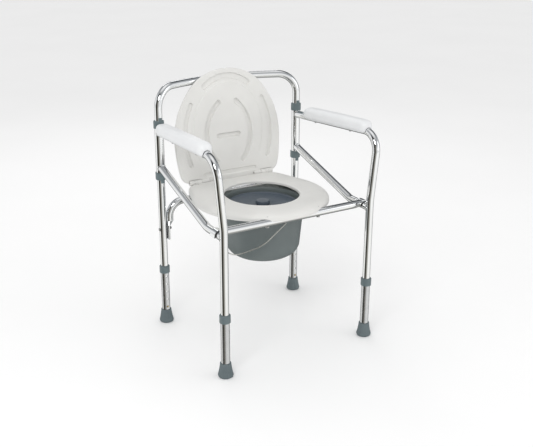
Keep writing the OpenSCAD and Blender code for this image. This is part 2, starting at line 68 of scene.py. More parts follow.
upright = middle("right_rear_tip")  # x, y of a rear upright's axis
foreleg = middle("right_front_tip")  # x, y of a front leg's axis
RAIL_Z = top("back_tube") - TUBE_R
BOW = math.radians(22)  # turn of the top rail at each corner
SLEEVE_R = (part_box("right_sleeve")[1][0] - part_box("right_sleeve")[0][0]) / 2
HINGE = Vector((0, middle("hinge_pins").y, middle("hinge_pins").z))
PAIL_MID = middle("pail")
LID_LEAN = math.radians(5.5)  # how far the raised lid leans back
# axes of the right arm's tube and brace; the left side is their mirror image
ARM = [Vector((foreleg.x, foreleg.y, 0.040)), Vector((foreleg.x, foreleg.y, 0.430)),
       Vector((0.257, foreleg.y, 0.625)), Vector((upright.x, upright.y, 0.606))]
BRACE = [Vector((foreleg.x, foreleg.y, 0.409)), Vector((foreleg.x, foreleg.y + 0.092, 0.409)),
         Vector((upright.x, upright.y, 0.503))]
ARM_BENDS, BRACE_BENDS = [0.150, 0.055], [0.060]
BACK_BEND = 0.060  # bend between an upright and the top rail

# ---------------------------------------------------------------- materials


def links(tree, *pairs):
    for a, b in pairs:
        tree.links.new(a, b)


class Finish:
    """A Principled material with a few helpers for procedural detail, all in object metres."""

    def __init__(self, name, color, **fixed):
        self.mat = bpy.data.materials.new(name)
        self.mat.use_nodes = True
        self.tree = self.mat.node_tree
        self.shader = self.tree.nodes["Principled BSDF"]
        self.coords = self.tree.nodes.new("ShaderNodeTexCoord").outputs["Object"]
        self.shader.inputs["Base Color"].default_value = (*color, 1)
        for socket, value in fixed.items():
            self.shader.inputs[socket.replace("_", " ")].default_value = value
        self.color = color
        self.normal = None

    def node(self, kind, **inputs):
        made = self.tree.nodes.new(kind)
        for socket, value in inputs.items():
            made.inputs[socket.replace("_", " ")].default_value = value
        return made

    def noise(self, scale, detail=3.0, roughness=0.5, stretch=(1, 1, 1)):
        mapping = self.node("ShaderNodeMapping", Scale=stretch)
        noise = self.node("ShaderNodeTexNoise", Scale=scale, Detail=detail, Roughness=roughness)
        links(self.tree, (self.coords, mapping.inputs["Vector"]),
              (mapping.outputs["Vector"], noise.inputs["Vector"]))
        return noise.outputs["Fac"]

    def ramp(self, value, low, high, to_low, to_high):
        ranged = self.node("ShaderNodeMapRange", From_Min=low, From_Max=high,
                           To_Min=to_low, To_Max=to_high)
        links(self.tree, (value, ranged.inputs["Value"]))
        return ranged.outputs["Result"]

    def tint(self, value, other, low=0.35, high=0.7):
        """Base colour goes towards another colour where the value is high."""
        mix = self.tree.nodes.new("ShaderNodeMix")
        mix.data_type = "RGBA"
        mix.inputs["A"].default_value = (*self.color, 1)
        mix.inputs["B"].default_value = (*other, 1)
        links(self.tree, (self.ramp(value, low, high, 0, 1), mix.inputs["Factor"]),
              (mix.outputs["Result"], self.shader.inputs["Base Color"]))
        return self

    def rough(self, value, low, high):
        links(self.tree, (self.ramp(value, 0.3, 0.7, low, high), self.shader.inputs["Roughness"]))
        return self

    def bump(self, value, distance, strength=1.0):
        bump = self.node("ShaderNodeBump", Strength=strength, Distance=distance)
        links(self.tree, (value, bump.inputs["Height"]))
        if self.normal:
            links(self.tree, (self.normal, bump.inputs["Normal"]))
        self.normal = bump.outputs["Normal"]
        links(self.tree, (self.normal, self.shader.inputs["Normal"]))
        return self


def chrome():
    f = Finish("chrome", (0.86, 0.87, 0.88), Metallic=1.0)
    f.tint(f.noise(9, 4), (0.80, 0.81, 0.82))
    f.rough(f.noise(55, 5, 0.65), 0.04, 0.10)
    return f.bump(f.noise(14, 2), 0.00004).bump(f.noise(900, 2), 0.000003).mat


def leg_metal():
    f = Finish("dull_chrome", (0.66, 0.67, 0.69), Metallic=1.0)
    f.tint(f.noise(30, 4), (0.58, 0.59, 0.61))
    f.rough(f.noise(140, 5, 0.6, (1, 1, 0.1)), 0.20, 0.34)
    return f.bump(f.noise(700, 3, 0.6, (1, 1, 0.04)), 0.00001).mat


def moulded(name, color, other, rough=(0.32, 0.46), grain=0.00002, scale=1100, specular=0.45,
            coat=0.0):
    f = Finish(name, color, Specular_IOR_Level=specular, Coat_Weight=coat, Coat_Roughness=0.25)
    f.tint(f.noise(11, 4), other)
    f.rough(f.noise(80, 4), *rough)
    return f.bump(f.noise(34, 2), 0.00012).bump(f.noise(scale, 3, 0.6), grain).mat


def steel(name, color, rough):
    f = Finish(name, color, Metallic=1.0)
    f.tint(f.noise(160, 3), tuple(c * 0.8 for c in color))
    f.rough(f.noise(420, 4), *rough)
    return f.bump(f.noise(1500, 2), 0.000008).mat


finish = {
    "frame_chrome": chrome(),
    "leg_chrome": leg_metal(),
    "seat_plastic": moulded("seat_plastic", (0.77, 0.765, 0.74), (0.73, 0.725, 0.70)),
    "pad_plastic": moulded("pad_plastic", (0.82, 0.83, 0.84), (0.78, 0.79, 0.80), (0.38, 0.5)),
    "grey_plastic": moulded("grey_plastic", (0.135, 0.175, 0.185), (0.11, 0.145, 0.155)),
    "grey_rubber": moulded("grey_rubber", (0.16, 0.195, 0.205), (0.12, 0.15, 0.16), (0.6, 0.8),
                           0.00004, 700, 0.3),
    "pail_plastic": moulded("pail_plastic", (0.150, 0.175, 0.175), (0.130, 0.155, 0.157),
                            (0.34, 0.48)),
    "pail_lid_plastic": moulded("pail_lid_plastic", (0.085, 0.108, 0.135), (0.072, 0.092, 0.116),
                                (0.3, 0.42)),
    "black_plastic": moulded("black_plastic", (0.012, 0.012, 0.013), (0.02, 0.02, 0.02)),
    "fastener_steel": steel("fastener_steel", (0.62, 0.62, 0.62), (0.22, 0.4)),
    "bail_wire": steel("bail_wire", (0.80, 0.80, 0.76), (0.28, 0.42)),
    "button_brass": steel("button_brass", (0.55, 0.42, 0.20), (0.25, 0.4)),
}

node_slot = {p["node"]: p["material_slot"] for p in frame["record"]["subparts"]}
for name, obj in frame["nodes"].items():
    obj.data.materials.clear()
    obj.data.materials.append(finish[node_slot[name]])

# ---------------------------------------------------------------- mesh tools


def solid(name, verts, faces, slot, body, replaces=(), smooth=True, angle=40):
    """A mesh piece in a record slot's finish that rides on a body."""
    mesh = bpy.data.meshes.new(name)
    mesh.from_pydata([tuple(v) for v in verts], [], faces)
    mesh.validate()
    bm = bmesh.new()
    bm.from_mesh(mesh)
    bmesh.ops.remove_doubles(bm, verts=bm.verts, dist=1e-7)
    bmesh.ops.recalc_face_normals(bm, faces=bm.faces)
    bm.to_mesh(mesh)
    bm.free()
    obj = bpy.data.objects.new(name, mesh)
    bpy.context.scene.collection.objects.link(obj)
    mesh.materials.append(finish[slot])
    if smooth:
        mesh.shade_smooth()
        mesh.set_sharp_from_angle(angle=math.radians(angle))
    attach(obj, body)
    if replaces:
        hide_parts(*replaces)
    return obj


def grid_faces(rows, cols, close_rows=False, close_cols=True):
    """Quads over a grid of rows by cols points."""
    faces = []
    for i in range(rows if close_rows else rows - 1):
        for j in range(cols if close_cols else cols - 1):
            a, b = i * cols, (i + 1) % rows * cols
            faces.append((a + j, a + (j + 1) % cols, b + (j + 1) % cols, b + j))
    return faces


def capped(faces, rows, cols):
    """The grid's faces with a flat end on its first and on its last row."""
    last = (rows - 1) * cols
    return faces + [tuple(range(cols))[::-1], tuple(last + k for k in range(cols))]


# faces of a prism given as two matching rings of four corners
PRISM = [(0, 1, 2, 3), (7, 6, 5, 4), (0, 4, 5, 1), (1, 5, 6, 2), (2, 6, 7, 3), (3, 7, 4, 0)]


def bent(points, radii, step=math.radians(3)):
    """Points along a polyline with round bends."""
    path = [points[0]]
    for i in range(1, len(points) - 1):
        u = (points[i] - points[i - 1]).normalized()
        v = (points[i + 1] - points[i]).normalized()
        turn = u.angle(v)
        r = radii[i - 1]
        side = (v - u * u.dot(v)).normalized()
        start = points[i] - u * r * math.tan(turn / 2)
        count = max(4, math.ceil(turn / step))
        for k in range(count + 1):
            a = turn * k / count
            path.append(start + u * r * math.sin(a) + side * r * (1 - math.cos(a)))
    return path + [points[-1]]


def tube_mesh(path, radius, count=40):
    """Tube along a path, with flat ends. Frames are carried along without twist."""
    verts, side = [], None
    for i, p in enumerate(path):
        ahead = path[min(i + 1, len(path) - 1)] - p
        behind = p - path[max(i - 1, 0)]
        t = (ahead.normalized() + behind.normalized()).normalized()
        if side is None:
            side = t.orthogonal().normalized()
        side = (side - t * side.dot(t)).normalized()
        other = t.cross(side)
        for k in range(count):
            a = 2 * math.pi * k / count
            verts.append(p + (side * math.cos(a) + other * math.sin(a)) * radius)
    return verts, capped(grid_faces(len(path), count), len(path), count)


def lathe_mesh(profile, count=96, centre=(0, 0, 0), shape=None):
    """Profile of (r, z) points turned about +Z; shape(r, z, angle) can change a radius."""
    verts = []
    for r, z in profile:
        for k in range(count):
            a = 2 * math.pi * k / count
            q = shape(r, z, a) if shape else r
            verts.append((centre[0] + q * math.cos(a), centre[1] + q * math.sin(a), centre[2] + z))
    return verts, grid_faces(len(profile), count)


def rounded(points, radii, count=5):
    """2D polyline with round corners."""
    flat = [Vector((x, y, 0)) for x, y in points]
    path = bent(flat, radii, math.pi / 2 / count)
    return [(p.x, p.y) for p in path]


def mirrored(points, s):
    return [Vector((p.x * s, p.y, p.z)) for p in points]


def join_cut(obj, cutters):
    """Cuts closed meshes out of a piece."""
    for cutter in cutters:
        mod = obj.modifiers.new("cut", "BOOLEAN")
        mod.operation, mod.solver, mod.object = "DIFFERENCE", "EXACT", cutter
    bpy.context.view_layer.update()
    done = bpy.data.meshes.new_from_object(obj.evaluated_get(bpy.context.evaluated_depsgraph_get()))
    obj.modifiers.clear()
    obj.data = done
    done.shade_smooth()
    done.set_sharp_from_angle(angle=math.radians(35))
    for cutter in cutters:
        bpy.data.objects.remove(cutter)


def cutter(verts, faces):
    mesh = bpy.data.meshes.new("cutter")
    mesh.from_pydata([tuple(v) for v in verts], [], faces)
    bm = bmesh.new()
    bm.from_mesh(mesh)
    bmesh.ops.recalc_face_normals(bm, faces=bm.faces)
    bm.to_mesh(mesh)
    bm.free()
    obj = bpy.data.objects.new("cutter", mesh)
    bpy.context.scene.collection.objects.link(obj)
    return obj


def box_cutter(low, high):
    verts = [(x, y, z) for x in (low[0], high[0]) for y in (low[1], high[1])
             for z in (low[2], high[2])]
    faces = [(0, 1, 3, 2), (4, 6, 7, 5), (0, 4, 5, 1), (2, 3, 7, 6), (0, 2, 6, 4), (1, 5, 7, 3)]
    return cutter(verts, faces)


# ---------------------------------------------------------------- tubes

bow_corner = Vector((0, upright.y + upright.x * math.tan(BOW), RAIL_Z))
bow_r = (upright.x / math.cos(BOW) - BACK_BEND - 0.004) / math.tan(BOW)
back = [Vector((-upright.x, upright.y, 0.040)), Vector((-upright.x, upright.y, RAIL_Z)), bow_corner,
        Vector((upright.x, upright.y, RAIL_Z)), Vector((upright.x, upright.y, 0.040))]
solid("back_frame_tube", *tube_mesh(bent(back, [BACK_BEND, bow_r, BACK_BEND]), TUBE_R, 48),
      "frame_chrome", "back_frame", ["back_tube"])


def weld_bead(name, at, axis, tube_r, across, host_r, body, size=0.0016):
    """Bead where a tube along axis meets a round post; across is the post's axis."""
    u = axis.normalized()
    w = across.normalized()
    v = w.cross(u).normalized()
    w = u.cross(v)
    path, count = [], 64
    for k in range(count):
        a = 2 * math.pi * k / count
        x, y = (tube_r + size * 0.2) * math.cos(a), (tube_r + size * 0.2) * math.sin(a)
        reach = math.sqrt(max((host_r + size * 0.2) ** 2 - x * x, 0))
        path.append(at + u * reach + v * x + w * y)
    verts, ring = [], 10
    for i, p in enumerate(path):
        t = (path[(i + 1) % count] - path[i - 1]).normalized()
        out = (p - at - u * (p - at).dot(u)).normalized()
        out = (out - t * out.dot(t)).normalized()
        other = t.cross(out)
        swell = size * (1 + 0.16 * math.sin(i * 2.9) + 0.08 * math.sin(i * 1.3 + 1))
        for k in range(ring):
            b = 2 * math.pi * k / ring
            verts.append(p + (out * math.cos(b) + other * math.sin(b)) * swell)
    solid(name, verts, grid_faces(count, ring, close_rows=True), "frame_chrome", body)


for side, s in SIDES.items():
    body = f"{side}_side"
    arm, brace = mirrored(ARM, s), mirrored(BRACE, s)
    arm[3] = arm[3] + (arm[2] - arm[3]).normalized() * (SLEEVE_R - 0.004)
    brace_end = brace[2] + (brace[1] - brace[2]).normalized() * (SLEEVE_R - 0.004)
    solid(f"{side}_arm_leg", *tube_mesh(bent(arm, ARM_BENDS), TUBE_R, 48),
          "frame_chrome", body, [f"{side}_arm_leg_tube"])
    solid(f"{side}_brace_tube",
          *tube_mesh(bent([brace[0] + Vector((0, 0.007, 0)), brace[1], brace_end], BRACE_BENDS),
                     TUBE_R, 44), "frame_chrome", body, [f"{side}_brace"])
    post = Vector((s * upright.x, upright.y, 0))
    up = Vector((0, 0, 1))
    weld_bead(f"{side}_arm_weld", post + up * ARM[3].z, arm[2] - arm[3], TUBE_R, up, SLEEVE_R, body)
    weld_bead(f"{side}_brace_weld", post + up * BRACE[2].z, brace[1] - brace[2], TUBE_R, up,
              SLEEVE_R, body)
    weld_bead(f"{side}_stub_weld", brace[0], Vector((0, 1, 0)), TUBE_R, up, TUBE_R, body)

# ---------------------------------------------------------------- arm pads


def section(width, low, high, r, count=7):
    """Rounded rectangle from low to high, as 2D points, closed."""
    w = width / 2
    corners = [((w - r), (high - r), 0), (-(w - r), (high - r), 90), (-(w - r), (low + r), 180),
               ((w - r), (low + r), 270)]
    points = []
    for x, y, start in corners:
        for k in range(count + 1):
            a = math.radians(start + 90 * k / count)
            points.append((x + r * math.cos(a), y + r * math.sin(a)))
    return points


def arm_pad(side, s, first, last):
    """Rounded block on the arm tube, from first to last metres behind the arm's front corner."""
    start, end = mirrored(ARM, s)[2:4]
    along = (end - start).normalized()
    level = Vector((0, 0, 1)).cross(along).normalized()
    up = along.cross(level)
    cap = 0.020
    turns = [math.radians(a) for a in range(0, 91, 9)]
    stations = [(first + cap * (1 - math.sin(a)), 1 - math.cos(a)) for a in reversed(turns)]
    stations += [(first + (last - first) * t, 0) for t in (0.15, 0.3, 0.45, 0.6, 0.75, 0.9)]
    stations += [(last - cap * (1 - math.sin(a)), 1 - math.cos(a)) for a in turns]
    verts = []
    for d, pinch in sorted(stations, key=lambda q: q[0]):
        origin = start + along * d
        half_w = 0.020 - 0.010 * pinch
        floor_up, roof = -0.0065 + 0.003 * pinch, 0.0300 - 0.016 * pinch
        crown = 0.0013 * math.sin(math.pi * min(max((d - first) / (last - first), 0), 1))
        for x, y in section(2 * half_w, floor_up, roof, 0.0125 - 0.006 * pinch, 9):
            low = max(0, (0.006 - y) / 0.012)
            lift = crown * max(0, 1 - (x / half_w) ** 2) if y > 0.02 else 0
            verts.append(origin + level * x * (1 - 0.05 * low) + up * (y + lift))
    cols = len(section(0.04, 0, 0.04, 0.01, 9))
    rows = len(stations)
    pad = solid(f"{side}_armrest", verts, capped(grid_faces(rows, cols), rows, cols),
                "pad_plastic", f"{side}_side", [f"{side}_arm_pad"])
    path = bent(mirrored(ARM, s), ARM_BENDS)
    join_cut(pad, [cutter(*tube_mesh(path, TUBE_R + 0.0013, 40))])


arm_pad("left", -1, 0.055, 0.377)
arm_pad("right", 1, 0.042, 0.332)

# ---------------------------------------------------------------- seat ring


def outline(circles, count):
    """Radius of the hull of (x, y, r) circles at count even angles about the origin."""
    radii = []
    for k in range(count):
        a = 2 * math.pi * k / count
        d = Vector((math.cos(a), math.sin(a)))
        # the hull's edge along d is the least support line over all directions
        best = 1e9
        for j in range(-80, 81):
            b = a + math.radians(j)
            n = Vector((math.cos(b), math.sin(b)))
            support = max(x * n.x + y * n.y + r for x, y, r in circles)
            best = min(best, support / max(d.dot(n), 1e-6))
        radii.append(best)
    return radii


def eased(radii, reach):
    """Running mean round a closed outline, to take the kinks out."""
    n = len(radii)
    return [sum(radii[(i + k) % n] for k in range(-reach, reach + 1)) / (2 * reach + 1)
            for i in range(n)]


RING_N = 288
ring_y = foreleg.y + 0.211
ring_mid = Vector((0, ring_y, 0))
outer = eased(outline([(0, 0, 0.200), (-0.120, 0.146, 0.040), (0.120, 0.146, 0.040)], RING_N), 4)
inner = outline([(0, -0.010, 0.108), (0, 0, 0.108)], RING_N)
ring_z = bottom("seat_ring")

# (share of the way from the inner edge to the outer, extra metres, height above the underside)
ring_profile = [(0, 0.0, 0.0120), (0, 0.0, 0.0165)]
ring_profile += [(0, 0.0035 * (1 - math.cos(math.radians(a))),
                  0.0165 + 0.0035 * math.sin(math.radians(a))) for a in range(15, 91, 15)]
ring_profile += [(t, 0.0035 * (1 - t), 0.0200 + 0.0002 * math.sin(math.pi * t))
                 for t in (0.12, 0.26, 0.40, 0.54)]
ring_profile += [(1, -0.034 * (1 - math.sin(math.radians(a))),
                  0.0045 + 0.0155 * math.cos(math.radians(a)) ** 0.9)
                 for a in range(12, 90, 6)]
ring_profile += [(1, 0.0, 0.0040), (1, 0.0, 0.0008), (1, -0.0008, 0.0), (1, -0.0028, 0.0),
                 (1, -0.0034, 0.0010)]
ring_profile += [(1, -0.0036 - 0.034 * (1 - math.sin(math.radians(a))),
                  0.0045 + 0.0118 * math.cos(math.radians(a)) ** 0.9)
                 for a in range(84, 0, -12)]
ring_profile += [(0, 0.012, 0.0166), (0, 0.004, 0.0160), (0, 0.0028, 0.0124)]


def ring_point(share, extra, z, k):
    r = inner[k] + (outer[k] - inner[k]) * share + extra
    a = 2 * math.pi * k / RING_N
    return (r * math.cos(a), ring_y + r * math.sin(a), ring_z + z)


ring_verts = [ring_point(*p, k) for p in ring_profile for k in range(RING_N)]
seat = solid("seat", ring_verts, grid_faces(len(ring_profile), RING_N, close_rows=True),
             "seat_plastic", "seat_frame", ["seat_ring"])
knuckle_in = 0.105  # the lid's knuckles stand between the seat's, up to here
cuts = [box_cutter((-knuckle_in, HINGE.y - 0.0118, 0.40), (knuckle_in, HINGE.y + 0.05, 0.46))]
for s in (-1, 1):
    xs = sorted((s * 0.1207, s * 0.1293))
    cuts.append(box_cutter((xs[0], HINGE.y - 0.021, 0.40), (xs[1], HINGE.y + 0.05, 0.46)))
bar = [Vector((x, foreleg.y + 0.036, 0.4125)) for x in (-0.21, 0.21)]
cuts.append(cutter(*tube_mesh(bar, TUBE_R + 0.0003, 48)))
join_cut(seat, cuts)
rear_wall = [(-0.105, HINGE.y - 0.0160, ring_z), (0.105, HINGE.y - 0.0160, ring_z),
             (0.105, HINGE.y - 0.0118, ring_z), (-0.105, HINGE.y - 0.0118, ring_z)]
solid("seat_rear_wall", rear_wall + [(x, y, ring_z + 0.019) for x, y, _ in rear_wall], PRISM,
      "seat_plastic", "seat_frame", smooth=False)


def knuckle(name, x0, x1, r, body, bore=0.0031):
    """Rounded hinge barrel along X at the hinge line."""
    edge = 0.0012
    profile = [(bore, x0), (r - edge, x0), (r - edge * 0.3, x0 + edge * 0.3), (r, x0 + edge),
               (r, x1 - edge), (r - edge * 0.3, x1 - edge * 0.3), (r - edge, x1), (bore, x1)]
    verts, count = [], 40
    for q, x in profile:
        for k in range(count):
            a = 2 * math.pi * k / count
            verts.append((x, HINGE.y + q * math.cos(a), HINGE.z + q * math.sin(a)))
    solid(name, verts, grid_faces(len(profile), count, close_rows=True), "seat_plastic", body)


for side, s in SIDES.items():
    for tag, a, b in (("inner", 0.1050, 0.1206), ("outer", 0.1294, 0.1450)):
        x0, x1 = sorted((s * a, s * b))
        knuckle(f"{side}_seat_knuckle_{tag}", x0, x1, 0.0078, "seat_frame")

# ---------------------------------------------------------------- lid

LID_GAP, LID_T, LID_L = 0.0008, 0.010, 0.333  # clearance at the hinge line, thickness, height
LID_N = 560
STEP_DEEP = 0.0018  # how far the lid's border lies behind its middle panel
lid_c = 0.150  # height of the outline's centre above the hinge
# the lid's half width at heights above its lower edge, in metres
LID_HALF = [(-0.0005, 0.1660), (0.030, 0.1720), (0.058, 0.1760), (0.090, 0.1800), (0.130, 0.1815),
            (0.165, 0.1780), (0.208, 0.1660), (0.236, 0.1520), (0.264, 0.1345), (0.286, 0.1160),
            (0.302, 0.0985), (0.316, 0.0760), (0.326, 0.0500), (0.3315, 0.0240), (LID_L, 0.0)]


def lid_outline(count):
    """Radius of the lid's outline about (0, lid_c) at count even angles."""
    corner = 0.016
    right = [(w, z) for z, w in LID_HALF]
    foot, low = right[0]
    turns = [math.radians(a) for a in range(0, 91, 15)]
    right[0:1] = [(foot - corner * (1 - math.sin(a)), low + corner * (1 - math.cos(a)))
                  for a in turns]
    points = [(0.0, right[0][1])] + right
    polar = sorted((math.atan2(z - lid_c, x), math.hypot(x, z - lid_c)) for x, z in points)
    radii = []
    for k in range(count):
        a = 2 * math.pi * k / count
        x, z = abs(math.cos(a)), math.sin(a)
        b = math.atan2(z, x)
        j = next((j for j in range(1, len(polar) - 1) if polar[j][0] >= b), len(polar) - 1)
        (b0, r0), (b1, r1) = polar[j - 1], polar[j]
        if b1 - b0 < 1e-9:
            radii.append(r1)
            continue
        # straight between neighbours, as the crossing of a ray with the edge
        p0 = Vector((r0 * math.cos(b0), r0 * math.sin(b0)))
        p1 = Vector((r1 * math.cos(b1), r1 * math.sin(b1)))
        d, e = Vector((x, z)), p1 - p0
        cross = d.x * e.y - d.y * e.x
        radii.append((p0.x * e.y - p0.y * e.x) / cross if abs(cross) > 1e-9 else r0)
    return radii


lid_edge = eased(lid_outline(LID_N), 6)


def eased_step(t):
    """0 to 1 with level ends."""
    t = min(max(t, 0), 1)
    return t * t * (3 - 2 * t)


def arc_distance(x, z, cx, cz, r, mid, half):
    """Distance to an arc of radius r about (cx, cz), centred on angle mid, in degrees."""
    a = math.degrees(math.atan2(z - cz, x - cx)) - mid
    a = (a + 180) % 360 - 180
    if abs(a) <= half:
        return abs(math.hypot(x - cx, z - cz) - r)
    end = math.radians(mid + math.copysign(half, a))
    return math.hypot(x - cx - r * math.cos(end), z - cz - r * math.sin(end))


def line_distance(x, z, x0, x1, z0):
    return math.hypot(x - min(max(x, x0), x1), z - z0)


# slots: (distance function, half width, depth)
slots = [(lambda x, z: arc_distance(x, z, 0, 0.1945, 0.1155, 90, 39), 0.0085, 0.0070),
         (lambda x, z: line_distance(x, z, -0.034, 0.034, 0.131), 0.0066, 0.0068),
         (lambda x, z: line_distance(x, z, -0.086, 0.082, 0.017), 0.0066, 0.0034)]
for s in (-1, 1):
    slots.append((lambda x, z, s=s: arc_distance(x * s, z, -0.0776, 0.1304, 0.2240, 3.8, 23.7),
                  0.0062, 0.0068))
    slots.append((lambda x, z, s=s: arc_distance(x * s, z, -0.0559, 0.1332, 0.1309, 5, 43.9),
                  0.0070, 0.0068))


def lid_depth(x, z):
    """How far the lid's face lies behind its highest plane."""
    depth = 0.0
    for distance, half, deep in slots:
        depth = max(depth, deep * eased_step((half - distance(x, z)) / 0.0022 + 0.5))
    arch = math.hypot(x / 0.118, (z - 0.150) / (0.142 if z > 0.150 else 0.175))
    band = eased_step((arch - 1.0) * 60 + 0.5) * eased_step((z - 0.045) / 0.05)
    return max(depth, STEP_DEEP * band)


def lid_vertex(x, y, z):
    c, w = math.cos(LID_LEAN), math.sin(LID_LEAN)
    return (x, HINGE.y + y * c + z * w, HINGE.z - y * w + z * c)


edge_r = 0.0032  # rounding of the lid's edge
lid_shares = [t / 120 for t in range(1, 119)]  # rings of the front face, from its centre out
lid_verts = []
for share in lid_shares:
    for k in range(LID_N):
        a = 2 * math.pi * k / LID_N
        r = (lid_edge[k] - edge_r) * share
        x, z = r * math.cos(a), lid_c + r * math.sin(a)
        lid_verts.append(lid_vertex(x, LID_GAP + lid_depth(x, z), z))
rim = []  # how far out and how far back each ring of the edge lies
for front in (True, False):
    steps = range(0, 91, 15) if front else range(90, -1, -15)
    for a in steps:
        out = edge_r * math.sin(math.radians(a))
        back_off = edge_r * (1 - math.cos(math.radians(a)))
        rim.append((out, LID_GAP + back_off if front else LID_GAP + LID_T - back_off))
for out, y in rim:
    for k in range(LID_N):
        a = 2 * math.pi * k / LID_N
        r = lid_edge[k] - edge_r + out
        x, z = r * math.cos(a), lid_c + r * math.sin(a)
        notch = 0.0034 * max(0, 1 - abs(x) / 0.0052) if z > lid_c else 0
        step = lid_depth(x, z) if y < LID_GAP + LID_T / 2 else 0
        lid_verts.append(lid_vertex(x, y + min(step, STEP_DEEP), z - notch))
lid_total = len(lid_shares) + len(rim)
lid_faces = grid_faces(lid_total, LID_N)
lid_verts.append(lid_vertex(0, LID_GAP + lid_depth(0, lid_c), lid_c))
lid_verts.append(lid_vertex(0, LID_GAP + LID_T, lid_c))
last = (lid_total - 1) * LID_N
for k in range(LID_N):
    lid_faces.append((len(lid_verts) - 2, (k + 1) % LID_N, k))
    lid_faces.append((len(lid_verts) - 1, last + k, last + (k + 1) % LID_N))
lid = solid("toilet_lid", lid_verts, lid_faces, "seat_plastic", "lid", ["lid"], angle=60)


def x_cylinder(x0, x1, r):
    path = [Vector((x0, HINGE.y, HINGE.z)), Vector((x1, HINGE.y, HINGE.z))]
    return cutter(*tube_mesh(path, r, 48))


join_cut(lid, [x_cylinder(*sorted((s * 0.1045, s * 0.1456)), 0.0088) for s in (-1, 1)])
for side, s in SIDES.items():
    x0, x1 = sorted((s * 0.0795, s * 0.1043))
    knuckle(f"{side}_lid_knuckle", x0, x1, 0.0070, "lid")
    web = [(x, LID_GAP + y, z) for x in (x0, x1) for y, z in ((0.001, 0), (0.0085, 0),
                                                              (0.0085, 0.006), (0.001, 0.006))]
    solid(f"{side}_lid_web", [lid_vertex(*v) for v in web], PRISM, "seat_plastic", "lid",
          smooth=False)

# lip that closes the gap above the ring's rear wall
lip = [(x, y, z) for x in (-0.0790, 0.0790) for y, z in
       ((0.0012, -0.0085), (0.0012, 0.0030), (0.0070, 0.0030), (0.0060, -0.0085))]
solid("lid_lip", [lid_vertex(*v) for v in lip], PRISM, "seat_plastic", "lid", smooth=False)

# ---------------------------------------------------------------- pail, its lid and the bail

pail_x, pail_y = PAIL_MID.x, foreleg.y + 0.200
base = bottom("pail")
rim_z = top("pail") - 0.0004  # clear of the ring above it
wall = 0.0024  # the pail's
outside = rounded([(0.0, base), (0.084, base), (0.1075, base + 0.014), (0.1200, rim_z - 0.011),
                   (0.1200, rim_z - 0.001)], [0.010, 0.034, 0.030], 10)
inside = [(max(r - wall, 0), z + wall if r < 0.10 else z) for r, z in reversed(outside[1:-1])]
pail_profile = outside[1:] + [(0.1190, rim_z), (0.1182, rim_z - 0.001)] + inside
PAIL_N = 128
pail_profile = [(0.0008, base)] + pail_profile + [(0.0008, base + wall)]
verts, faces = lathe_mesh(pail_profile, PAIL_N, (pail_x, pail_y, 0))
solid("pail_body", verts, capped(faces, len(pail_profile), PAIL_N), "pail_plastic", "seat_frame",
      ["pail"])

# square rim with round corners, lofted from the round mouth
RIM_N = 192
rim_half, rim_corner = (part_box("pail")[1][0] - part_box("pail")[0][0]) / 2, 0.034
square = outline([(x * (rim_half - rim_corner), y * (rim_half - rim_corner), rim_corner)
                  for x in (-1, 1) for y in (-1, 1)], RIM_N)
# (1 to follow the square or 0 for the round mouth, extra metres, height over the rim)
rim_rows = [(0, 0.1199, -0.0040), (0, 0.1199, 0.0)]
rim_rows += [(1, -0.0010, 0.0), (1, -0.0003, -0.0003), (1, 0.0, -0.0010), (1, 0.0, -0.0032),
             (1, -0.0008, -0.0040), (1, -0.0026, -0.0040), (1, -0.0034, -0.0030)]
verts = []
for flag, extra, z in rim_rows:
    for k in range(RIM_N):
        a = 2 * math.pi * k / RIM_N
        r = square[k] * flag + extra
        verts.append((pail_x + r * math.cos(a), pail_y + r * math.sin(a), rim_z + z))
solid("pail_rim", verts, grid_faces(len(rim_rows), RIM_N, close_rows=True), "pail_plastic",
      "seat_frame")
pivot_z = top("pail") - 0.032
for tag, s in (("front", -1), ("rear", 1)):
    ys = sorted((s * 0.1150, s * 0.1243))
    path = [Vector((pail_x, pail_y + y, pivot_z)) for y in ys]
    boss = solid(f"pail_boss_{tag}", *tube_mesh(path, 0.0075, 40), "pail_plastic", "seat_frame")
    join_cut(boss, [cutter(*tube_mesh([path[0] - Vector((0, 0.01, 0)),
                                       path[1] + Vector((0, 0.01, 0))], 0.0018, 24))])
# moulding line down the wall
seam_angle = math.radians(-38)
seam = []
for r, z in outside[4:]:
    seam.append(Vector((pail_x + (r - 0.0004) * math.cos(seam_angle),
                        pail_y + (r - 0.0004) * math.sin(seam_angle), z)))
solid("pail_seam", *tube_mesh(seam, 0.0008, 10), "pail_plastic", "seat_frame")

shelf = bottom("pail_lid") + 0.006
lid_r = (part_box("pail_lid")[1][0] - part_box("pail_lid")[0][0]) / 2
under = [(0.0006, shelf - 0.006), (0.052, shelf - 0.006), (0.080, shelf - 0.003),
         (lid_r - 0.008, shelf - 0.001), (lid_r - 0.0078, shelf + 0.0003),
         (lid_r - 0.001, shelf + 0.0003)]
over = rounded([(lid_r, shelf + 0.0010), (lid_r, shelf + 0.005), (lid_r - 0.0026, shelf + 0.005),
                (lid_r - 0.006, shelf + 0.0022), (0.080, shelf), (0.050, shelf - 0.003),
                (0.0186, shelf - 0.003), (0.0214, shelf + 0.006), (0.0198, shelf + 0.0135),
                (0.0006, shelf + 0.0140)], [0.001, 0.001, 0.003, 0.05, 0.03, 0.0015, 0.004, 0.0028])
verts, faces = lathe_mesh(under + over, PAIL_N, (pail_x, pail_y, 0))
solid("pail_cover", verts, capped(faces, len(under + over), PAIL_N), "pail_lid_plastic",
      "pail_lid", ["pail_lid"])

